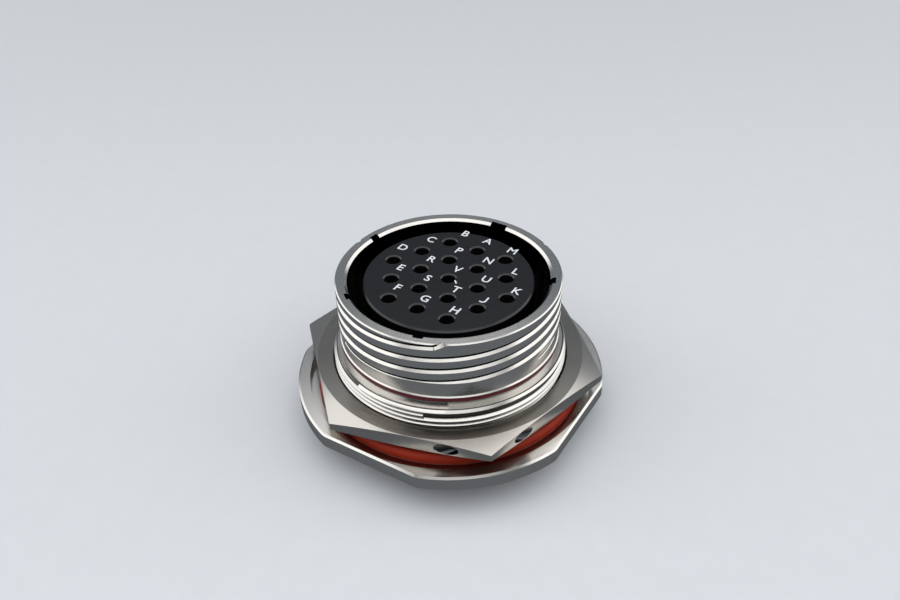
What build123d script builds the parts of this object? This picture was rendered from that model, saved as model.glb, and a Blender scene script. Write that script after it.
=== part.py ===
from build123d import *
from math import cos, radians, sin, sqrt, tan
import os

# Jam-nut panel receptacle of a circular connector, shell size 25, with 19 socket contacts.
# The origin is on the axis, in the front face of the flange, which the panel lies on.
# +Z points out of the mating face, and the master keyway is on the +Y side.
# Lengths are in millimetres and angles in degrees.

# How far a cut runs past the face that it opens through
cut_overrun = 1.0

# Front barrel, from the flange's front face to the mating face
front_length = 22.12
mouth_wall_thickness = 2.17
mating_bore_depth = 9.2
bore_edge_chamfer = 0.5
rim_chamfer = 0.2

# Coupling thread: three starts, each one a groove with a blunt mouth near the rim
coupling_thread_d = 41.275
coupling_pitch = 2.54
coupling_starts = 3
coupling_thread_length = 8.5
groove_depth = 0.55
groove_mouth_width = 1.15
groove_root_width = 0.05
groove_end_below_rim = 0.72
groove_end_angle = -65.8
groove_exit_angle = 11.0

# Neck and collar behind the coupling thread
neck_below_thread = 0.29
neck_cone_length = 0.3
collar_below_thread = 0.04
collar_top_z = 10.5
collar_edge_chamfer = 0.2
band_groove_width = 0.85
band_groove_depth = 0.08
band_below_collar_top = 0.25

# Panel thread with its flat, its blunt first ridge and the relief next to the flange
panel_thread_d = 44.0
panel_thread_top_z = 8.35
thread_edge_chamfer = 0.45
panel_pitch = 1.0
panel_groove_depth = 0.61
panel_groove_mouth_width = 0.85
panel_groove_root_width = 0.14
panel_groove_stand_out = 0.1
panel_groove_start_z = 0.5
blunt_start_angle = -71.0
blunt_start_z = 6.98
blunt_cut_turns = 0.9
blunt_cut_depth = 0.63
panel_flat_height = 21.0
thread_relief_depth = 0.8
panel_relief_length = 0.4

# Flange, round with four flats
flange_d = 59.0
flange_across_flats = 55.58
flange_thickness = 3.18
flange_edge_chamfer = 0.35

# Seal ring in the flange's front face
seal_section_d = 2.62
seal_inner_d = 45.9
seal_stand_out = 1.0
seal_groove_inner_gap = 0.2
seal_groove_outer_gap = 1.7

# Rear barrel with the accessory thread and the locking teeth on its end
rear_length = 9.4
accessory_thread_d = 37.0
accessory_relief_length = 1.5
rear_bore_d = 33.8
tooth_ring_d = 35.8
tooth_ring_height = 1.0
tooth_count = 32
tooth_gap_width = 1.7
tooth_gap_depth = 0.85

# Keyways in the mating bore, counted from the master keyway and seen from the front
master_keyway_width = 3.3
minor_keyway_width = 1.8
keyway_depth = 1.0
master_keyway_angle = 90.0
minor_keyway_angles = (80.0, 142.0, 196.0, 293.0)

# Jam nut
nut_across_flats = 50.8
nut_thickness = 2.75
nut_corner_angle = 15.0
nut_face_d = 50.6
nut_chamfer_angle = 10.0
nut_bore_clearance = 0.05
nut_bore_chamfer = 0.35
nut_above_seal = 1.3
lockwire_hole_d = 1.5
lockwire_from_corner = 7.5
lockwire_corner_count = 3

# Hard insert and what stands behind it
insert_face_below_rim = 1.15
insert_boss_d = 31.56
insert_edge_chamfer = 0.3
insert_web_thickness = 3.0
insert_length = 18.95
insert_side_gap = 0.05
clip_plate_thickness = 5.0
grommet_end_recess = 0.3

# Contacts and their cavities
contact_pitch = 6.06
face_hole_d = 2.6
face_hole_chamfer = 0.25
face_lip_thickness = 1.7
cavity_clearance = 0.1
contact_d = 3.8
socket_bore_d = 2.42
socket_bore_depth = 9.0
contact_end_gap = 0.15
wire_bore_d = 2.55
wire_bore_depth = 6.0
wire_seal_d = 2.9

# Worked out from the sizes above
coupling_r = coupling_thread_d / 2
coupling_lead = coupling_pitch * coupling_starts
thread_end_z = front_length - coupling_thread_length
bore_floor_z = front_length - mating_bore_depth
mating_bore_r = coupling_r - mouth_wall_thickness
panel_r = panel_thread_d / 2
accessory_r = accessory_thread_d / 2
rear_bore_r = rear_bore_d / 2
flange_back_z = -flange_thickness
flange_middle_z = flange_back_z / 2
rear_z = -rear_length
seal_inner_r = seal_inner_d / 2
seal_outer_r = seal_inner_r + seal_section_d
seal_floor_z = seal_stand_out - seal_section_d
insert_boss_r = insert_boss_d / 2
insert_face_z = front_length - insert_face_below_rim
insert_shoulder_z = bore_floor_z - insert_web_thickness
insert_back_z = insert_face_z - insert_length
clip_plate_back_z = insert_back_z - clip_plate_thickness
cavity_top_z = insert_face_z - face_lip_thickness
contact_top_z = cavity_top_z - contact_end_gap
contact_back_z = clip_plate_back_z + contact_end_gap
cavity_r = contact_d / 2 + cavity_clearance
insert_collar_r = rear_bore_r - insert_side_gap
nut_bottom_z = seal_stand_out + nut_above_seal

# Contact letters by ring, counter-clockwise as seen from the front
contact_rings = (
    ("V", 0.0, 0.0),
    ("UNPRST", contact_pitch, 0.0),
    ("LACEGJ", sqrt(3) * contact_pitch, 30.0),
    ("KMBDFH", 2 * contact_pitch, 0.0),
)


def turned(points):
    """A solid turned about Z from its outline, given as radius and height."""
    outline = Polyline(*[(r, 0, z) for r, z in points], close=True)
    return revolve(make_face(outline), Axis.Z, 360)


def at_angle(angle, radius=0.0, z=0.0):
    """A place at a radius and height, with its own X axis pointing outwards."""
    return Rot(0, 0, angle) * Pos(radius, 0, z)


def disc(from_z, to_z):
    """A full disc that fills the shell's rear bore between two heights."""
    return Pos(0, 0, from_z) * Cylinder(
        insert_collar_r, to_z - from_z, align=(Align.CENTER, Align.CENTER, Align.MIN))


def contact_places():
    """The letter and centre of every contact."""
    for letters, radius, first_angle in contact_rings:
        for step, letter in enumerate(letters):
            angle = radians(first_angle + step * 60)
            yield letter, radius * cos(angle), radius * sin(angle)


def at_all_contacts(shape):
    """A copy of a shape at every contact, as one list."""
    return [Pos(x, y, 0) * shape for _, x, y in contact_places()]


def barrel():
    """The shell's turned body without its flange."""
    collar_r = coupling_r - collar_below_thread
    neck_r = coupling_r - neck_below_thread
    band_top = collar_top_z - band_below_collar_top
    band_end = band_top - band_groove_width
    band_r = collar_r - band_groove_depth
    panel_relief_r = panel_r - thread_relief_depth
    accessory_relief_r = accessory_r - thread_relief_depth
    relief_end = flange_back_z - accessory_relief_length
    tooth_ring_r = tooth_ring_d / 2
    tooth_ring_top = rear_z + tooth_ring_height
    web_r = insert_boss_r + cavity_clearance
    return turned([
        (mating_bore_r + bore_edge_chamfer, front_length),
        (coupling_r - rim_chamfer, front_length),
        (coupling_r, front_length - rim_chamfer),
        (coupling_r, thread_end_z),
        (neck_r, thread_end_z - neck_cone_length),
        (neck_r, collar_top_z),
        (collar_r - collar_edge_chamfer, collar_top_z),
        (collar_r, collar_top_z - collar_edge_chamfer),
        (collar_r, band_top),
        (band_r, band_top),
        (band_r, band_end),
        (collar_r, band_end),
        (collar_r, panel_thread_top_z),
        (panel_r - thread_edge_chamfer, panel_thread_top_z),
        (panel_r, panel_thread_top_z - thread_edge_chamfer),
        (panel_r, panel_relief_length),
        (panel_relief_r, panel_relief_length),
        (panel_relief_r, flange_middle_z),
        (accessory_relief_r, flange_middle_z),
        (accessory_relief_r, relief_end),
        (accessory_r, relief_end),
        (accessory_r, tooth_ring_top + accessory_r - tooth_ring_r),
        (tooth_ring_r, tooth_ring_top),
        (tooth_ring_r, rear_z),
        (rear_bore_r, rear_z),
        (rear_bore_r, insert_shoulder_z),
        (web_r, insert_shoulder_z),
        (web_r, bore_floor_z),
        (mating_bore_r, bore_floor_z),
        (mating_bore_r, front_length - bore_edge_chamfer),
    ])


def flange():
    """The round flange with four flats and a groove for the seal ring."""
    outline = Circle(flange_d / 2) & Rectangle(flange_across_flats, flange_across_flats)
    plate = Pos(0, 0, flange_back_z) * extrude(outline, flange_thickness)
    plate = chamfer(plate.edges(), flange_edge_chamfer)
    wall_middle_r = (rear_bore_r + accessory_r - thread_relief_depth) / 2
    hollow = Cylinder(wall_middle_r, 2 * (flange_thickness + cut_overrun))
    groove = turned([
        (seal_inner_r - seal_groove_inner_gap, seal_floor_z),
        (seal_outer_r + seal_groove_outer_gap, seal_floor_z),
        (seal_outer_r + seal_groove_outer_gap, cut_overrun),
        (seal_inner_r - seal_groove_inner_gap, cut_overrun),
    ])
    return plate - hollow - groove


def groove_outline(depth, mouth_width, root_width, stand_out):
    """The trapezoid of a thread groove, with its mouth at zero and carried on outwards."""
    flare = (mouth_width - root_width) / 2 / depth
    half_root = root_width / 2
    half_out = half_root + flare * (depth + stand_out)
    return Polyline(
        (-depth, -half_root), (stand_out, -half_out), (stand_out, half_out), (-depth, half_root), close=True)


def helical_groove(outline, radius, lead, from_z, to_z, from_angle):
    """A groove body that climbs counter-clockwise from one height to another."""
    path = Helix(pitch=lead, height=to_z - from_z, radius=radius)
    start = Plane(origin=path @ 0, x_dir=(1, 0, 0), z_dir=path % 0)
    groove = sweep(start * make_face(outline), path, is_frenet=True)
    return at_angle(from_angle, z=from_z) * groove


def coupling_thread_grooves():
    """All starts of the coupling thread, with the steep exit at each mouth."""
    end_z = front_length - groove_end_below_rim
    start_z = thread_end_z - groove_mouth_width
    turn = (end_z - start_z) / coupling_lead * 360
    exit_rise = groove_end_below_rim + groove_mouth_width
    exit_lead = exit_rise * 360 / groove_exit_angle
    outline = groove_outline(groove_depth, groove_mouth_width, groove_root_width, cut_overrun)
    grooves = []
    for start in range(coupling_starts):
        mouth_angle = groove_end_angle + start * 360 / coupling_starts
        grooves.append(helical_groove(
            outline, coupling_r, coupling_lead, start_z, end_z, mouth_angle - turn))
        grooves.append(helical_groove(
            outline, coupling_r, exit_lead, end_z, end_z + exit_rise, mouth_angle))
    return grooves


def panel_thread_groove():
    """The groove of the panel thread, from the relief out through the top chamfer."""
    outline = groove_outline(
        panel_groove_depth, panel_groove_mouth_width, panel_groove_root_width, panel_groove_stand_out)
    end_z = panel_thread_top_z + panel_pitch / 2
    groove_z = blunt_start_z - panel_pitch / 2
    turn = (groove_z - panel_groove_start_z) / panel_pitch * 360
    return helical_groove(
        outline, panel_r, panel_pitch, panel_groove_start_z, end_z, blunt_start_angle - turn)


def blunt_start_cut():
    """What is milled off the panel thread's first ridge, so that it starts blunt."""
    outline = groove_outline(blunt_cut_depth, panel_pitch, panel_pitch, panel_groove_stand_out)
    end_z = blunt_start_z + blunt_cut_turns * panel_pitch
    return helical_groove(
        outline, panel_r, panel_pitch, blunt_start_z, end_z, blunt_start_angle)


def keyway(angle, width):
    """The slot for one key of the plug, along the whole mating bore."""
    inner_r = mating_bore_r - keyway_depth
    slot = Box(2 * keyway_depth, width, mating_bore_depth, align=(Align.MIN, Align.CENTER, Align.MIN))
    return at_angle(angle, inner_r, bore_floor_z) * slot


def rear_tooth_gap():
    """The V between two locking teeth, lying along X."""
    half = tooth_gap_width / 2
    outline = Polyline((-half, 0), (half, 0), (0, tooth_gap_depth), close=True)
    return Pos(0, 0, rear_z) * extrude(Plane.YZ * make_face(outline), accessory_r + cut_overrun)


def shell():
    """The machined shell, one piece from the mating rim to the rear teeth."""
    body = barrel() + flange()
    panel_flat = Pos(0, panel_flat_height, panel_thread_top_z / 2) * Box(
        2 * panel_r, 2 * panel_r, panel_thread_top_z, align=(Align.CENTER, Align.MIN, Align.CENTER))
    body -= panel_thread_groove()
    body -= blunt_start_cut()
    body -= panel_flat
    body -= keyway(master_keyway_angle, master_keyway_width)
    for angle in minor_keyway_angles:
        body -= keyway(master_keyway_angle + angle, minor_keyway_width)
    gaps = [Rot(0, 0, (n + 0.5) * 360 / tooth_count) * rear_tooth_gap() for n in range(tooth_count)]
    body -= gaps
    for groove in coupling_thread_grooves():
        body -= groove
    return body


def jam_nut():
    """The hexagon nut, with coned faces and lockwire holes through every second corner."""
    corner_r = nut_across_flats / sqrt(3)
    outer_r = corner_r + cut_overrun
    hexagon = RegularPolygon(corner_r, 6, rotation=nut_corner_angle)
    body = extrude(hexagon, nut_thickness)
    face_r = nut_face_d / 2
    drop = (outer_r - face_r) * tan(radians(nut_chamfer_angle))
    body &= turned([
        (0, 0), (face_r, 0), (outer_r, drop),
        (outer_r, nut_thickness - drop), (face_r, nut_thickness), (0, nut_thickness),
    ])
    bore_r = panel_r + nut_bore_clearance
    wide_r = bore_r + nut_bore_chamfer
    body -= turned([
        (0, 0), (wide_r, 0), (bore_r, nut_bore_chamfer),
        (bore_r, nut_thickness - nut_bore_chamfer), (wide_r, nut_thickness), (0, nut_thickness),
    ])
    wire_r = corner_r - lockwire_from_corner / 2
    hole = Rot(90, 0, 0) * Cylinder(lockwire_hole_d / 2, 2 * lockwire_from_corner)
    for n in range(lockwire_corner_count):
        angle = nut_corner_angle - 60 + n * 360 / lockwire_corner_count
        body -= at_angle(angle, wire_r, nut_thickness / 2) * hole
    return Pos(0, 0, nut_bottom_z) * body


def flange_seal():
    """The rubber ring that lies in the flange's groove."""
    centre_r = seal_inner_r + seal_section_d / 2
    return Pos(0, 0, seal_floor_z + seal_section_d / 2) * Torus(centre_r, seal_section_d / 2)


def socket_insert():
    """The hard front insert: a boss through the shell's web, and a collar behind it."""
    body = turned([
        (0, insert_back_z), (insert_collar_r, insert_back_z), (insert_collar_r, insert_shoulder_z),
        (insert_boss_r, insert_shoulder_z), (insert_boss_r, insert_face_z - insert_edge_chamfer),
        (insert_boss_r - insert_edge_chamfer, insert_face_z), (0, insert_face_z),
    ])
    hole_r = face_hole_d / 2
    cavity = turned([
        (0, insert_back_z - cut_overrun), (cavity_r, insert_back_z - cut_overrun),
        (cavity_r, cavity_top_z), (hole_r, cavity_top_z),
        (hole_r, insert_face_z - face_hole_chamfer), (hole_r + face_hole_chamfer, insert_face_z),
        (0, insert_face_z),
    ])
    return body - at_all_contacts(cavity)


def clip_plate():
    """The hard plate behind the insert, which holds the contacts from the rear."""
    body = disc(clip_plate_back_z, insert_back_z)
    hole = Pos(0, 0, clip_plate_back_z) * Cylinder(cavity_r, 2 * (clip_plate_thickness + cut_overrun))
    return body - at_all_contacts(hole)


def wire_grommet():
    """The soft rear seal, with a narrow passage for each wire."""
    body = disc(rear_z + grommet_end_recess, clip_plate_back_z)
    front_to_rear = clip_plate_back_z - rear_z
    passage = Pos(0, 0, rear_z) * Cylinder(wire_seal_d / 2, 2 * (front_to_rear + cut_overrun))
    return body - at_all_contacts(passage)


def socket_contact():
    """One crimp contact, bored for the pin from the front and for the wire from the rear."""
    contact_r = contact_d / 2
    pin_r = socket_bore_d / 2
    wire_r = wire_bore_d / 2
    pin_floor = contact_top_z - socket_bore_depth
    wire_floor = contact_back_z + wire_bore_depth
    return turned([
        (pin_r, contact_top_z), (contact_r, contact_top_z), (contact_r, contact_back_z),
        (wire_r, contact_back_z), (wire_r, wire_floor), (0, wire_floor), (0, pin_floor), (pin_r, pin_floor),
    ])


def write(shape, name):
    """One STEP file for each piece."""
    export_step(shape, os.path.join("parts", name + ".step"))


os.makedirs("parts", exist_ok=True)
write(shell(), "shell")
write(jam_nut(), "jam_nut")
write(flange_seal(), "flange_seal")
write(socket_insert(), "socket_insert")
write(clip_plate(), "clip_plate")
write(wire_grommet(), "wire_grommet")
contact = socket_contact()
for letter, x, y in contact_places():
    write(Pos(x, y, 0) * contact, "contact_" + letter)
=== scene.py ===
# %% [markdown]
# # Dressing a round connector receptacle
# The part is a metal shell with a flange, a jam nut on the shell's fine thread, a rubber ring under
# the nut, and a black insert with 19 sockets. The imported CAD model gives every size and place.
# Here it gets the threads, finishes and marks that the solids leave out.

# %% Load the frame
import bmesh
import bpy
from math import cos, pi, radians, sin, sqrt
from mathutils import Matrix, Vector


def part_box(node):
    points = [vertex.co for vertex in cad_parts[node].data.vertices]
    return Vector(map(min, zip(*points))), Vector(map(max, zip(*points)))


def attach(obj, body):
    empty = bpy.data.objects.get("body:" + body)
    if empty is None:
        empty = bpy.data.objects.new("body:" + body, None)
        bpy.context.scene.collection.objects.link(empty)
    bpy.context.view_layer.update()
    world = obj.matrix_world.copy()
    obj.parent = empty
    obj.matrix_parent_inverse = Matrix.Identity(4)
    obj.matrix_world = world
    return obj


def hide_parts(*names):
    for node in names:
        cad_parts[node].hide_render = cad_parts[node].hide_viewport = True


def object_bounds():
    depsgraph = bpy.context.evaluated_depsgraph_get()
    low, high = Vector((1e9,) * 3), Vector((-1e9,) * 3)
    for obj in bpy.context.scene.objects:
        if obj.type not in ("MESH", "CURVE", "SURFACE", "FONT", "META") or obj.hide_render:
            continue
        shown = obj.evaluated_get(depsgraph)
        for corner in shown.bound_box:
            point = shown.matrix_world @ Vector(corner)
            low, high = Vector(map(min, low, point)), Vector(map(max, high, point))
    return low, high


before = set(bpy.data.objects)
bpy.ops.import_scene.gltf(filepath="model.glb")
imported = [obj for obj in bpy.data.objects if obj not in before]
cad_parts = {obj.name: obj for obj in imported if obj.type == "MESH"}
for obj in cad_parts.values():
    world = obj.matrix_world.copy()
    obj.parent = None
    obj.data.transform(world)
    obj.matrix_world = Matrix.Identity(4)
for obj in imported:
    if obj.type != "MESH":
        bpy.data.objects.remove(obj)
cad_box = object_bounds()
mm = 0.001
print("CAD box in mm:", [[round(value / mm, 2) for value in corner] for corner in cad_box])


# %% Scene helper
def add_object(name, data):
    """A new object of the scene that shows this mesh, text, lamp or camera."""
    thing = bpy.data.objects.new(name, data)
    bpy.context.scene.collection.objects.link(thing)
    return thing


# %% [markdown]
# ## The camera
# A photograph is matched first by its camera. The rim,
# the flange and the rows of holes fix where it stood: about 37 degrees above the bench and 18 cm away.
# The camera is turned about Z, tilted and rolled, and then moved back along its own axis.

# %% Camera
camera_azimuth = radians(32)
camera_elevation = radians(36.494)
camera_roll = radians(-1.167)
camera_offset = Vector((-0.079, 12.863, 181.64)) * mm
sensor_width = 36.0
focal_pixels, photo_width = 928.8, 900

camera_data = bpy.data.cameras.new("photo_camera")
camera_data.sensor_width = sensor_width
camera_data.lens = focal_pixels / photo_width * sensor_width
camera_data.clip_start = 0.01
camera = add_object("photo_camera", camera_data)
camera.matrix_world = (
    Matrix.Rotation(camera_azimuth, 4, "Z")
    @ Matrix.Rotation(pi / 2 - camera_elevation, 4, "X")
    @ Matrix.Rotation(camera_roll, 4, "Z")
    @ Matrix.Translation(camera_offset))
bpy.context.scene.camera = camera
print("Camera at", [round(value, 3) for value in camera.matrix_world.translation])

# %% [markdown]
# ## Colours and nodes
# A colour picked on a screen is an sRGB value, and shaders work with linear light, so one function
# turns each hex value into a linear one. One more helper adds a node with its settings and links.
# In a Mix node, inputs 2 and 3 are numbers, inputs 6 and 7 are colours, and output 2 is the colour.


# %% Colour and node helpers
def linear(hex_code):
    """The linear colour of an sRGB hex value."""
    parts = [int(hex_code[i:i + 2], 16) / 255 for i in (1, 3, 5)]
    return tuple(p / 12.92 if p <= 0.04045 else ((p + 0.055) / 1.055) ** 2.4 for p in parts) + (1.0,)


def add_node(tree, kind, inputs=None, **settings):
    """One new node: its settings, then its inputs, each a value or another node's output."""
    node = tree.nodes.new("ShaderNode" + kind)
    for name, value in settings.items():
        setattr(node, name, value)
    for key, value in (inputs or {}).items():
        if isinstance(value, bpy.types.NodeSocket):
            tree.links.new(value, node.inputs[key])
        else:
            node.inputs[key].default_value = value
    return node


def start_material(name, **values):
    """A material whose shader has these fixed values, with its node tree and shader."""
    material = bpy.data.materials.new(name)
    material.use_nodes = True
    shader = material.node_tree.nodes["Principled BSDF"]
    for key, value in values.items():
        shader.inputs[key.replace("_", " ")].default_value = value
    return material, material.node_tree, shader


print("Linear mid grey:", [round(part, 3) for part in linear("#808080")])

# %% [markdown]
# ## Turned stainless steel
# The shell is stainless steel turned on a lathe, which leaves fine rings: along the axis on its barrels
# and outwards on its flat faces. Radius plus a share of the height is a number that changes on both,
# so a one-dimensional noise of it draws the rings everywhere, and no unwrapping is needed.
# Real rings are about 0.1 mm apart, too fine for this view, so they are drawn up to 0.5 mm apart.
# The rings also stretch a highlight across themselves, which is what the anisotropic value does.
# The bores, the keyways and the thread's roots show near black, so they get a dark tone: painted shade,
# for little light gets out of them. Each such zone is a band of heights and a band of radii, and a COMPARE
# node is 1 where a number is inside its band.

# %% Turned steel
height_share, hair_share, mottle_share, mottle_size = 0.73, 0.4, 0.5, 3 * mm
smooth_roughness = 0.08


def turning_marks(tree, shader, coarse, fine, depth, roughness_from, roughness_to, smooth_within=0.0):
    """Lathe rings as bump and roughness, with spacings in metres; nearer the axis the metal is smooth.
    Returns the outputs that tell a point's place, radius and height."""
    place = add_node(tree, "TexCoord").outputs["Object"]
    flat = add_node(tree, "VectorMath", {0: place, 1: (1, 1, 0)}, operation="MULTIPLY")
    radius = add_node(tree, "VectorMath", {0: flat.outputs[0]}, operation="LENGTH").outputs["Value"]
    height = add_node(tree, "SeparateXYZ", {0: place}).outputs["Z"]
    along = add_node(tree, "Math", {0: height, 1: height_share, 2: radius}, operation="MULTIPLY_ADD")
    rings = add_node(tree, "TexNoise", {"W": along.outputs[0], "Scale": 1 / coarse, "Detail": 3.0,
                                        "Roughness": 0.6}, noise_dimensions="1D")
    hair = add_node(tree, "TexNoise", {"W": along.outputs[0], "Scale": 1 / fine, "Detail": 2.0},
                    noise_dimensions="1D")
    blotches = add_node(tree, "TexNoise", {"Vector": place, "Scale": 1 / mottle_size, "Detail": 3.0})
    both = add_node(tree, "Math", {0: hair.outputs["Fac"], 1: hair_share, 2: rings.outputs["Fac"]},
                    operation="MULTIPLY_ADD")
    outside = add_node(tree, "Math", {0: radius, 1: smooth_within}, operation="GREATER_THAN")
    bump = add_node(tree, "Bump", {"Strength": outside.outputs[0], "Distance": depth,
                                   "Height": both.outputs[0]})
    mottled = add_node(tree, "Math", {0: blotches.outputs["Fac"], 1: mottle_share, 2: hair.outputs["Fac"]},
                       operation="MULTIPLY_ADD")
    rough = add_node(tree, "MapRange", {"Value": mottled.outputs[0], "From Min": 0.4, "From Max": 1.1,
                                        "To Min": roughness_from, "To Max": roughness_to})
    zoned = add_node(tree, "Mix", {0: outside.outputs[0], 2: smooth_roughness, 3: rough.outputs["Result"]})
    tangent = add_node(tree, "Tangent", direction_type="RADIAL", axis="Z")
    tree.links.new(bump.outputs["Normal"], shader.inputs["Normal"])
    tree.links.new(zoned.outputs[0], shader.inputs["Roughness"])
    tree.links.new(tangent.outputs["Tangent"], shader.inputs["Tangent"])
    return place, radius, height


bore_r = 18.5 * mm
turned_steel, tree, shader = start_material(
    "stainless_steel_turned", Metallic=1.0, Anisotropic=0.6, Anisotropic_Rotation=0.25)
_, radius, height = turning_marks(
    tree, shader, coarse=0.5 * mm, fine=0.16 * mm, depth=0.0022 * mm, roughness_from=0.14,
    roughness_to=0.23, smooth_within=bore_r)
# Painted shade, with middle height, half height, middle radius and half width in mm: the bore, the
# keyways, their mouths in the rim, the roots of the coupling thread, and the rear bore
painted_shade_zones = [(9.4, 12.8, 0, bore_r / mm), (9.3, 12.3, 0, 19.6), (21.84, 0.24, 19.3, 0.3),
               (16.8, 4.8, 20.07, 0.17), (-7.6, 4.4, 0, 17.6)]
black = None
for middle, half_height, ring_r, half_width in painted_shade_zones:
    level = add_node(tree, "Math", {0: height, 1: middle * mm, 2: half_height * mm}, operation="COMPARE")
    ring = add_node(tree, "Math", {0: radius, 1: ring_r * mm, 2: half_width * mm}, operation="COMPARE")
    zone = add_node(tree, "Math", {0: level.outputs[0], 1: ring.outputs[0]}, operation="MULTIPLY")
    black = add_node(tree, "Math", {0: zone.outputs[0], 1: black.outputs[0] if black else 0.0},
                     operation="MAXIMUM")
# The roots of the panel thread get a darker steel colour: painted shade
panel_root_r, panel_root_half = 21.4 * mm, 0.12 * mm
root = add_node(tree, "Math", {0: radius, 1: panel_root_r, 2: panel_root_half}, operation="COMPARE")
panel_root_painted_shade = add_node(tree, "Mix", {0: root.outputs[0], 6: linear("#d2cfca"), 7: linear("#5f5f5a")},
                 data_type="RGBA")
# The zones above take a near-black colour: painted shade
steel_with_painted_shade = add_node(tree, "Mix", {0: black.outputs[0], 6: panel_root_painted_shade.outputs[2], 7: linear("#1c1c1d")},
               data_type="RGBA")
tree.links.new(steel_with_painted_shade.outputs[2], shader.inputs["Base Color"])
print(turned_steel.name, len(tree.nodes), "nodes")

# %% [markdown]
# ## Face-turned nut steel
# The nut is the same steel, but its two faces were turned coarser, so they look brushed. Inside the chamfer
# they get a good deal darker steel colour: a painted dark reflection. A hole for a lockwire runs through
# every second corner, three in all, and its wall is painted dark as shade. A point belongs to a hole when it
# lies close enough to the hole's line. The limit grows towards the two mouths, which open outwards.

# %% Nut steel
nut_steel, tree, shader = start_material(
    "stainless_steel_face_turned", Metallic=1.0, Anisotropic=0.6, Anisotropic_Rotation=0.25)
place, radius, height = turning_marks(
    tree, shader, coarse=0.35 * mm, fine=0.12 * mm, depth=0.002 * mm, roughness_from=0.16,
    roughness_to=0.27)
nut_face_r = 25.3 * mm
wire_r, wire_angles, wire_z = 25.58 * mm, (-45, 75, 195), 3.675 * mm
wire_flare, wire_wall_r = 0.134, 0.2 * mm
# This mask finds the wire-hole walls, which get painted shade
inside = None
for angle in wire_angles:
    outwards = (cos(radians(angle)), sin(radians(angle)), 0)
    sidewards = (-sin(radians(angle)), cos(radians(angle)), 0)
    out = add_node(tree, "VectorMath", {0: place, 1: outwards}, operation="DOT_PRODUCT")
    off = add_node(tree, "Math", {0: out.outputs["Value"], 1: wire_r}, operation="SUBTRACT")
    rise = add_node(tree, "Math", {0: height, 1: wire_z}, operation="SUBTRACT")
    both = add_node(tree, "CombineXYZ", {"X": off.outputs[0], "Y": rise.outputs[0]})
    from_wire = add_node(tree, "VectorMath", {0: both.outputs[0]}, operation="LENGTH")
    along_wire = add_node(tree, "VectorMath", {0: place, 1: sidewards}, operation="DOT_PRODUCT")
    reach = add_node(tree, "Math", {0: along_wire.outputs["Value"]}, operation="ABSOLUTE")
    wall = add_node(tree, "Math", {0: reach.outputs[0], 1: wire_flare, 2: wire_wall_r},
                    operation="MULTIPLY_ADD")
    hole = add_node(tree, "Math", {0: from_wire.outputs["Value"], 1: wall.outputs[0]}, operation="LESS_THAN")
    inside = add_node(tree, "Math", {0: hole.outputs[0], 1: inside.outputs[0] if inside else 0.0},
                      operation="MAXIMUM")
# Inside the chamfer the faces take a darker steel colour: a painted dark reflection
face = add_node(tree, "Math", {0: radius, 1: 0.0, 2: nut_face_r}, operation="COMPARE")
steel = add_node(tree, "Mix", {0: face.outputs[0], 6: linear("#bfbbb5"), 7: linear("#8f8c87")},
                 data_type="RGBA")
# The wire-hole walls take a dark grey: painted shade
tone = add_node(tree, "Mix", {0: inside.outputs[0], 6: steel.outputs[2], 7: linear("#525254")},
                data_type="RGBA")
tree.links.new(tone.outputs[2], shader.inputs["Base Color"])
print(nut_steel.name, len(tree.nodes), "nodes")

# %% [markdown]
# ## Rubber, plastic, ink, enamel and gold
# The ring is moulded silicone rubber: satin, with a faint mottling where it was wiped.
# The insert is moulded thermoset, black and semi-gloss, with a very slight waviness.
# The marks are flat white ink and the band is a thin stoving enamel. The contacts are gold plated.


# %% Seal and grommet rubber
def mottled_colour(tree, shader, dark, light, grain):
    """A slow mix of two close colours, with a grain size in metres and a bump of a sixtieth of it."""
    place = add_node(tree, "TexCoord").outputs["Object"]
    noise = add_node(tree, "TexNoise", {"Vector": place, "Scale": 1 / grain, "Detail": 4.0})
    mix = add_node(tree, "Mix", {0: noise.outputs["Fac"], 6: dark, 7: light}, data_type="RGBA")
    tree.links.new(mix.outputs[2], shader.inputs["Base Color"])
    bump = add_node(tree, "Bump", {"Strength": 0.6, "Distance": grain / 60, "Height": noise.outputs["Fac"]})
    tree.links.new(bump.outputs["Normal"], shader.inputs["Normal"])


seal_rubber, tree, shader = start_material(
    "silicone_rubber_moulded", Roughness=0.55, Specular_IOR_Level=0.25)
mottled_colour(tree, shader, linear("#7a1c0a"), linear("#922910"), grain=1.5 * mm)
grommet_rubber, tree, shader = start_material("silicone_grommet_moulded", Roughness=0.6)
mottled_colour(tree, shader, linear("#7d2b20"), linear("#92392a"), grain=1.0 * mm)
print("Rubbers:", seal_rubber.name, grommet_rubber.name)

# %% Insert plastic
insert_plastic, tree, shader = start_material("thermoset_moulded_black", Roughness=0.2)
mottled_colour(tree, shader, linear("#08090b"), linear("#0d0e11"), grain=2.0 * mm)
plate_plastic, tree, shader = start_material("thermoset_plate_black", Roughness=0.5)
mottled_colour(tree, shader, linear("#16171a"), linear("#1f2023"), grain=1.0 * mm)
print("Plastics:", insert_plastic.name, plate_plastic.name)

# %% Ink, enamel and gold
white_ink, tree, shader = start_material("printed_ink_white", Roughness=0.5)
mottled_colour(tree, shader, linear("#c3c8cf"), linear("#dfe2e6"), grain=0.5 * mm)
red_enamel, tree, shader = start_material("stoving_enamel_red", Roughness=0.4)
mottled_colour(tree, shader, linear("#4a0a15"), linear("#57101c"), grain=1.0 * mm)
gold_plate, tree, shader = start_material("gold_plate_over_copper", Metallic=1.0, Roughness=0.3)
mottled_colour(tree, shader, linear("#b8893f"), linear("#d9b063"), grain=0.8 * mm)
print("Materials:", [material.name for material in bpy.data.materials])

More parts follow.
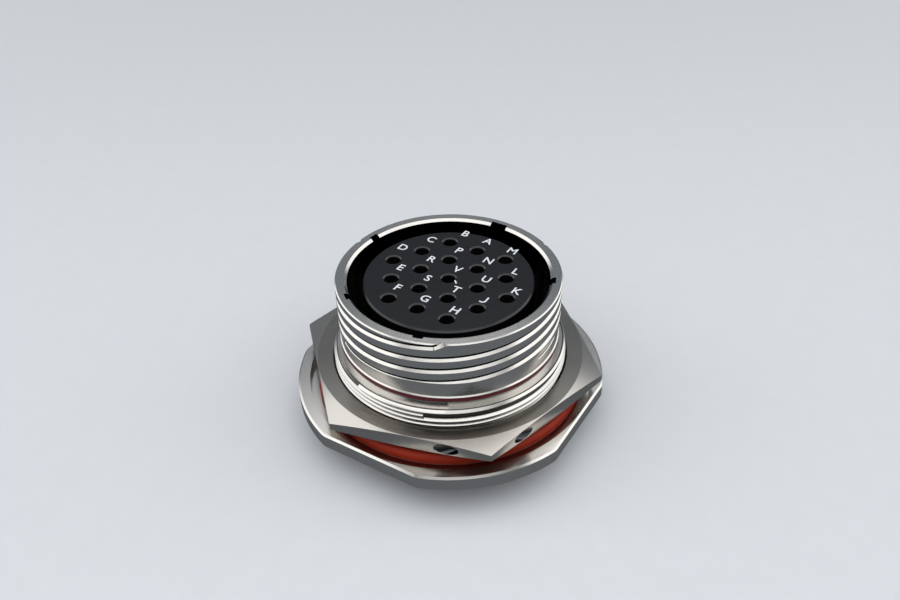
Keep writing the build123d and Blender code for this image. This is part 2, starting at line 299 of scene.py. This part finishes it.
# %% [markdown]
# ## Pieces and how they are kept
# Each new piece is one mesh in its final place, with its object at the origin. The helper turns a
# bmesh into such an object, points its faces outwards, smooths it up to a crease angle, and names the
# body that carries it and the finish it takes.

# %% Piece helpers
crease_angle = radians(30)
merge_distance = 0.002 * mm


def mesh_of(bm, name):
    """A mesh with the content of a bmesh, which is freed."""
    mesh = bpy.data.meshes.new(name)
    bm.to_mesh(mesh)
    bm.free()
    return mesh


def as_piece(bm, name, material, body, recalculate=True, sharp_ring=0.0):
    """A finished object from a bmesh, riding on a body. Edges on a sharp ring's radius stay creased."""
    if recalculate:
        bmesh.ops.recalc_face_normals(bm, faces=bm.faces)
    mesh = mesh_of(bm, name)
    stored_normals = mesh.attributes.get("custom_normal")
    if stored_normals:
        mesh.attributes.remove(stored_normals)
    mesh.materials.clear()
    mesh.materials.append(material)
    mesh.shade_smooth()
    mesh.set_sharp_from_angle(angle=crease_angle)
    for edge in mesh.edges:
        if all(abs(mesh.vertices[i].co.xy.length - sharp_ring) < 0.01 * mm for i in edge.vertices):
            edge.use_edge_sharp = True
    piece = add_object(name, mesh)
    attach(piece, body)
    print(name, len(mesh.polygons), "faces")
    return piece


def merged_copy(node):
    """A CAD node's mesh as a bmesh, with its loose triangles joined."""
    bm = bmesh.new()
    bm.from_mesh(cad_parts[node].data)
    bmesh.ops.remove_doubles(bm, verts=bm.verts, dist=merge_distance)
    return bm


def full_turn(bm, steps):
    """The closed surface that a bmesh's outline leaves in one turn about Z."""
    bmesh.ops.spin(bm, geom=bm.verts[:] + bm.edges[:], axis=(0, 0, 1), cent=(0, 0, 0), angle=2 * pi,
                   steps=steps, use_merge=True)
    bmesh.ops.remove_doubles(bm, verts=bm.verts, dist=merge_distance)
    return bm


def round_ring(ring_r, section_r, segments, steps):
    """A ring of round section about Z, level with the origin."""
    bm = bmesh.new()
    bmesh.ops.create_circle(bm, segments=segments, radius=section_r)
    place = Matrix.Translation((ring_r, 0, 0)) @ Matrix.Rotation(pi / 2, 4, "X")
    bmesh.ops.transform(bm, matrix=place, verts=bm.verts)
    return full_turn(bm, steps)


# %% [markdown]
# ## Screw threads
# A V thread is a groove that climbs one pitch in each turn. The spin operator makes such a coil from a
# small section when it also moves a little up at each step. Cut out of a plain barrel, the coil leaves
# true ridges that run out at the chamfers and at the flat, as the cutting tool leaves them.

# %% Thread coil
steps_per_turn = 96


def coil(section, pitch, from_z, to_z, start_angle=0.0):
    """A closed coil of a section, given as radius and height in metres, round Z."""
    bm = bmesh.new()
    corners = [bm.verts.new((r, 0, z)) for r, z in section]
    face = bm.faces.new(corners)
    steps = round((to_z - from_z) / pitch * steps_per_turn)
    bmesh.ops.spin(
        bm, geom=[face] + face.edges[:] + corners, axis=(0, 0, 1), cent=(0, 0, 0),
        dvec=(0, 0, pitch / steps_per_turn), angle=2 * pi * steps / steps_per_turn, steps=steps)
    move = Matrix.Translation((0, 0, from_z)) @ Matrix.Rotation(start_angle, 4, "Z")
    bmesh.ops.transform(bm, matrix=move, verts=bm.verts)
    bmesh.ops.recalc_face_normals(bm, faces=bm.faces)
    return bm


def groove_coil(major_r, pitch, from_z, to_z):
    """The groove of a metric thread, 0.61 of the pitch deep, reaching a little outside its crests."""
    root_r, crest_r, outer_r = major_r - 0.61 * pitch, major_r + 0.02 * mm, major_r + 0.3 * mm
    half_root, half_mouth = 0.07 * pitch, 0.43 * pitch
    section = [(root_r, -half_root), (crest_r, -half_mouth), (outer_r, -half_mouth),
               (outer_r, half_mouth), (crest_r, half_mouth), (root_r, half_root)]
    return coil(section, pitch, from_z, to_z)


def cut(target, cutter, name):
    """The mesh that is left when one bmesh is cut out of another."""
    body = add_object(name, mesh_of(target, name))
    tool = add_object(name + "_cutter", mesh_of(cutter, name + "_cutter"))
    modifier = body.modifiers.new("cut", "BOOLEAN")
    modifier.operation, modifier.solver, modifier.object = "DIFFERENCE", "EXACT", tool
    depsgraph = bpy.context.evaluated_depsgraph_get()
    result = bpy.data.meshes.new_from_object(body.evaluated_get(depsgraph))
    for thing in (body, tool):
        bpy.data.objects.remove(thing)
    left = bmesh.new()
    left.from_mesh(result)
    bpy.data.meshes.remove(result)
    return left


# %% Shell with its rear thread
accessory_r, thread_pitch = 18.5 * mm, 1.0 * mm
rear_thread_low, rear_thread_high = -8.6 * mm, -4.2 * mm
rear_groove = groove_coil(accessory_r, thread_pitch, rear_thread_low, rear_thread_high)
threaded = cut(merged_copy("shell"), rear_groove, "accessory")
shell = as_piece(threaded, "threaded_shell", turned_steel, "receptacle", recalculate=False)
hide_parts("shell")

# %% [markdown]
# ## The nut
# Cones open the mouths of the lockwire holes, and the edges between the nut's sides and its faces are
# broken a little, as a file leaves them. Inside runs its own ridge, in the groove of the shell's thread.

# %% Nut with its wire holes
sink_out, sink_depth, sink_hole_r, sink_mouth_r = 6.6 * mm, 4.4 * mm, 0.76 * mm, 1.35 * mm
sinks = bmesh.new()
for angle in wire_angles:
    for side in (-1, 1):
        place = (Matrix.Rotation(radians(angle), 4, "Z")
                 @ Matrix.Translation((wire_r, side * sink_out, wire_z))
                 @ Matrix.Rotation(-side * pi / 2, 4, "X"))
        bmesh.ops.create_cone(sinks, cap_ends=True, segments=24, radius1=sink_hole_r,
                              radius2=sink_mouth_r, depth=sink_depth, matrix=place)
drilled = cut(merged_copy("jam_nut"), sinks, "wire_holes")

edge_break, rims_outside_r = 0.14 * mm, 24 * mm
rims = []
for edge in drilled.edges:
    slopes = sorted(abs(face.normal.z) for face in edge.link_faces)
    upright_meets_level = len(slopes) == 2 and slopes[0] < 0.02 and slopes[1] > 0.9
    if upright_meets_level and edge.verts[0].co.xy.length > rims_outside_r:
        rims.append(edge)
bmesh.ops.bevel(drilled, geom=rims, offset=edge_break, offset_type="OFFSET", segments=1, affect="EDGES",
                clamp_overlap=True)
print("Bevelled edges of the nut:", len(rims))
nut = as_piece(drilled, "hexagon_nut", nut_steel, "nut", sharp_ring=nut_face_r)
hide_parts("jam_nut")

# %% Inner thread of the nut
nut_low, nut_high = (corner[2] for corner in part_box("jam_nut"))
ridge_foot_r, ridge_foot_half, ridge_top_r, ridge_top_half = 22.12 * mm, 0.36 * mm, 21.55 * mm, 0.02 * mm
ridge = [(ridge_foot_r, -ridge_foot_half), (ridge_foot_r, ridge_foot_half),
         (ridge_top_r, ridge_top_half), (ridge_top_r, -ridge_top_half)]
ridge_margin = 0.6 * mm
ridge_z = nut_low + ridge_margin
turns = int((nut_high - nut_low - 2 * ridge_margin) / thread_pitch * steps_per_turn) / steps_per_turn
# The shell's groove passes this angle at this height
groove_angle, groove_z = radians(-71), 6.48 * mm
ridge_angle = groove_angle - (groove_z - ridge_z) / thread_pitch * 2 * pi
inner = coil(ridge, thread_pitch, ridge_z, ridge_z + turns * thread_pitch, ridge_angle)
as_piece(inner, "nut_thread", nut_steel, "nut")

# %% [markdown]
# ## The seal ring
# The ring is a plain round section turned about the axis. A circle is spun, and merged where it closes.

# %% Seal ring
ring_section_r, ring_inner_r, ring_stand_out = 1.31 * mm, 22.95 * mm, 1.0 * mm
bm = round_ring(ring_inner_r + ring_section_r, ring_section_r, segments=28, steps=180)
bmesh.ops.translate(bm, vec=(0, 0, ring_stand_out - ring_section_r), verts=bm.verts)
seal = as_piece(bm, "seal_ring", seal_rubber, "receptacle")
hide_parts("flange_seal")

# %% [markdown]
# ## The red band
# A red band on the collar shows when a plug is not fully home. It is enamel in a shallow groove.

# %% Red band
band_inner_r, band_outer_r, band_low, band_high = 20.50 * mm, 20.585 * mm, 9.41 * mm, 10.24 * mm
bm = bmesh.new()
band = [(band_inner_r, band_low), (band_outer_r, band_low),
        (band_outer_r, band_high), (band_inner_r, band_high)]
corners = [bm.verts.new((r, 0, z)) for r, z in band]
for i in range(4):
    bm.edges.new((corners[i - 1], corners[i]))
as_piece(full_turn(bm, steps=180), "mating_band", red_enamel, "receptacle")

# %% [markdown]
# ## The insert and its letters
# The insert keeps its CAD shape, with creases only at its real edges. Beside each hole stands its
# contact letter in white ink, upright towards the master keyway. Each is text turned into a mesh.
# The photograph's J is a plain hook, so it is a U cut off along a slope, and a short tick stands
# beside the middle hole.

# %% Insert
insert = as_piece(
    merged_copy("socket_insert"), "moulded_insert", insert_plastic, "receptacle")
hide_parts("socket_insert")

# %% Letters
contact_pitch = 6.06 * mm
insert_face_z = 20.97 * mm
letter_height = 1.85 * mm
letter_boldness = 0.012
text_extrude = 0.01
ink_thickness = 0.015 * mm
ink_z = insert_face_z + ink_thickness / 2
hook_cut_y, hook_cut_slope = 0.09 * mm, (-0.9, 0.43, 0)
tick_x, tick_y, tick_width, tick_length = 1.72 * mm, -0.38 * mm, 0.28 * mm, 1.0 * mm
rings = (("V", 0, 0), ("UNPRST", 1, 0), ("LACEGJ", sqrt(3), 30), ("KMBDFH", 2, 0))
letter_offsets = {
    "B": (1.2, 4.0), "A": (0.2, 3.8), "M": (-0.2, 3.2), "C": (-0.5, 4.2), "D": (-0.7, 4.4), "E": (-0.3, 3.8),
    "F": (-0.3, 3.5), "G": (-0.3, 3.1), "H": (0.0, 2.8), "J": (-0.4, 2.7), "K": (0.6, 2.6), "L": (0.6, 2.7),
    "N": (0.5, 3.3), "P": (0.1, 3.5), "R": (0.2, 3.7), "S": (-0.2, 3.4), "T": (0.0, 2.9), "U": (0.1, 3.1),
    "V": (0.0, 3.2)}
hole_places = {}
for letters, distance, first_angle in rings:
    for step, letter in enumerate(letters):
        angle = radians(first_angle + step * 60)
        hole_places[letter] = Vector((cos(angle), sin(angle))) * distance * contact_pitch


def letter_mesh(letter):
    """One letter as a thin mesh, centred on the origin and scaled to its height. The J is a cut-off U."""
    text = bpy.data.curves.new(letter, "FONT")
    text.body = "U" if letter == "J" else letter
    text.extrude = text_extrude
    text.offset = letter_boldness
    text_object = add_object(letter, text)
    depsgraph = bpy.context.evaluated_depsgraph_get()
    mesh = bpy.data.meshes.new_from_object(text_object.evaluated_get(depsgraph))
    bpy.data.objects.remove(text_object)
    xs = [vertex.co.x for vertex in mesh.vertices]
    ys = [vertex.co.y for vertex in mesh.vertices]
    scale = letter_height / (max(ys) - min(ys))
    centre = Matrix.Translation((-(max(xs) + min(xs)) / 2, -(max(ys) + min(ys)) / 2, 0))
    mesh.transform(Matrix.Diagonal((scale, scale, ink_thickness / (2 * text_extrude), 1)) @ centre)
    if letter == "J":
        bm = bmesh.new()
        bm.from_mesh(mesh)
        cut_parts = bmesh.ops.bisect_plane(
            bm, geom=bm.verts[:] + bm.edges[:] + bm.faces[:], plane_co=(0, hook_cut_y, 0),
            plane_no=hook_cut_slope, clear_outer=True)["geom_cut"]
        cut_edges = [part for part in cut_parts if isinstance(part, bmesh.types.BMEdge)]
        bmesh.ops.holes_fill(bm, edges=cut_edges)
        bm.to_mesh(mesh)
        bm.free()
    return mesh


ink = bmesh.new()
for letter, hole in hole_places.items():
    spot = hole + Vector(letter_offsets[letter]) * mm
    mesh = letter_mesh(letter)
    mesh.transform(Matrix.Translation((spot.x, spot.y, ink_z)))
    ink.from_mesh(mesh)
    bpy.data.meshes.remove(mesh)
bmesh.ops.create_cube(ink, size=1.0, matrix=(
    Matrix.Translation((tick_x, tick_y, ink_z)) @ Matrix.Rotation(pi / 4, 4, "Z")
    @ Matrix.Diagonal((tick_width, tick_length, ink_thickness, 1))))
as_piece(ink, "contact_letters", white_ink, "receptacle", recalculate=False)

# %% [markdown]
# ## The rear
# Behind the insert a soft grommet seals each wire with a raised lip. The contacts and the plate between
# keep their CAD shapes and only get their finish.

# %% Grommet with lips
grommet = merged_copy("wire_grommet")
lip_r, lip_section_r, grommet_back_z = 1.75 * mm, 0.22 * mm, -9.1 * mm
for hole in hole_places.values():
    bm = round_ring(lip_r, lip_section_r, segments=10, steps=32)
    bmesh.ops.translate(bm, vec=(hole.x, hole.y, grommet_back_z), verts=bm.verts)
    bmesh.ops.recalc_face_normals(bm, faces=bm.faces)
    lip = mesh_of(bm, "lip")
    grommet.from_mesh(lip)
    bpy.data.meshes.remove(lip)
seal = as_piece(grommet, "lipped_grommet", grommet_rubber, "receptacle", recalculate=False)
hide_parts("wire_grommet")

# %% Finishes on the CAD nodes that stay
for name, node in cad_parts.items():
    finish = gold_plate if name.startswith("contact_") else plate_plastic if name == "clip_plate" else None
    if finish:
        node.data.materials.clear()
        node.data.materials.append(finish)
print("Contacts in gold:", sum(name.startswith("contact_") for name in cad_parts))

# %% [markdown]
# ## Floor, background and light
# The part stands on its rear teeth on a pale matt table. Metal shows what it reflects, so the room that
# reflections see is a white canopy overhead with white panels left and right, a grey wall behind and a
# dark one behind the camera, and in reflections the table is darker too. To the camera the background
# is plain and pale, and the table fades into it. As a light the background is dim, so the soft boxes
# do the work.

# %% Floor
background_hex = "#d2d6db"
floor_size, fade_from, fade_to = 1.5, 0.12, 0.55
floor_finish, tree, shader = start_material("painted_board_pale", Roughness=0.75)
mottled_colour(tree, shader, linear("#c6cacf"), linear("#caced3"), grain=4 * mm)
paint = shader.inputs["Base Color"].links[0].from_socket
rays = add_node(tree, "LightPath")
mirrored = add_node(tree, "Mix", {0: rays.outputs["Is Glossy Ray"], 6: paint, 7: linear("#5c6167")},
                    data_type="RGBA")
tree.links.new(mirrored.outputs[2], shader.inputs["Base Color"])
place = add_node(tree, "TexCoord").outputs["Object"]
distance = add_node(tree, "VectorMath", {0: place}, operation="LENGTH").outputs["Value"]
far = add_node(tree, "MapRange", {"Value": distance, "From Min": fade_from, "From Max": fade_to})
fade = add_node(tree, "Math", {0: far.outputs["Result"], 1: rays.outputs["Is Camera Ray"]},
                operation="MULTIPLY")
haze = add_node(tree, "Emission", {"Color": linear(background_hex)})
faded = add_node(tree, "MixShader", {0: fade.outputs[0], 1: shader.outputs["BSDF"], 2: haze.outputs[0]})
tree.links.new(faded.outputs[0], tree.nodes["Material Output"].inputs["Surface"])

bm = bmesh.new()
bmesh.ops.create_grid(bm, x_segments=1, y_segments=1, size=floor_size)
bmesh.ops.translate(bm, vec=(0, 0, cad_box[0][2]), verts=bm.verts)
floor_mesh = mesh_of(bm, "floor")
floor_mesh.materials.append(floor_finish)
floor = add_object("floor", floor_mesh)
print("Floor at", round(cad_box[0][2] / mm, 2), "mm")

# %% World
canopy_from, canopy_to = 0.64, 0.73
panel_from, panel_to = 0.60, 0.72
near_from, near_to = -0.2, 0.4
world = bpy.data.worlds.new("studio")
bpy.context.scene.world = world
world.use_nodes = True
tree = world.node_tree
tree.nodes.clear()
rays = add_node(tree, "LightPath")
reflected = add_node(tree, "Math", {0: rays.outputs["Is Glossy Ray"], 1: rays.outputs["Is Transmission Ray"]},
                     operation="MAXIMUM")
direction = add_node(tree, "TexCoord").outputs["Generated"]
upwards = add_node(tree, "SeparateXYZ", {0: direction}).outputs["Z"]
to_camera = (sin(camera_azimuth), -cos(camera_azimuth), 0)
to_right = (cos(camera_azimuth), sin(camera_azimuth), 0)
nearer = add_node(tree, "VectorMath", {0: direction, 1: to_camera}, operation="DOT_PRODUCT").outputs["Value"]
sideways = add_node(tree, "VectorMath", {0: direction, 1: to_right}, operation="DOT_PRODUCT").outputs["Value"]
off_axis = add_node(tree, "Math", {0: sideways}, operation="ABSOLUTE").outputs[0]
panels = add_node(tree, "MapRange", {"Value": off_axis, "From Min": panel_from, "From Max": panel_to})
near = add_node(tree, "MapRange", {"Value": nearer, "From Min": near_from, "From Max": near_to})
canopy = add_node(tree, "MapRange", {"Value": upwards, "From Min": canopy_from, "From Max": canopy_to})
walls = add_node(tree, "Mix", {0: near.outputs["Result"], 6: linear("#62676d"), 7: linear("#1e2021")},
                 data_type="RGBA")
white = add_node(tree, "Math", {0: canopy.outputs["Result"], 1: panels.outputs["Result"]},
                 operation="MAXIMUM")
room_colour = add_node(tree, "Mix", {0: white.outputs[0], 6: walls.outputs[2], 7: linear("#f4f5f6")},
                       data_type="RGBA")
dim = add_node(tree, "Background", {"Color": linear("#ffffff"), "Strength": 0.28})
room = add_node(tree, "Background", {"Color": room_colour.outputs[2], "Strength": 1.75})
pale = add_node(tree, "Background", {"Color": linear(background_hex), "Strength": 1.0})
unseen = add_node(tree, "MixShader", {0: reflected.outputs[0], 1: dim.outputs[0], 2: room.outputs[0]})
mixed = add_node(tree, "MixShader", {0: rays.outputs["Is Camera Ray"], 1: unseen.outputs[0],
                                     2: pale.outputs[0]})
add_node(tree, "OutputWorld", {"Surface": mixed.outputs[0]})
print("World:", len(tree.nodes), "nodes")

# %% Soft boxes
# Name, size in metres, power in watts and place of each; all are turned to the part
soft_boxes = (("overhead_box", 0.9, 3.9, (0.08, -0.13, 0.5)),
              ("left_box", 0.4, 0.7, (-0.40, -0.25, 0.3)),
              ("right_box", 0.4, 0.7, (0.40, 0.25, 0.3)))
for name, size, power, place in soft_boxes:
    data = bpy.data.lights.new(name, "AREA")
    data.shape, data.size, data.energy = "SQUARE", size, power
    light = add_object(name, data)
    light.location = place
    light.rotation_euler = (-Vector(place)).to_track_quat("-Z", "Y").to_euler()
    light.visible_glossy = False
bpy.context.scene.view_settings.view_transform = "Standard"
print("Soft boxes:", [name for name, *_ in soft_boxes])
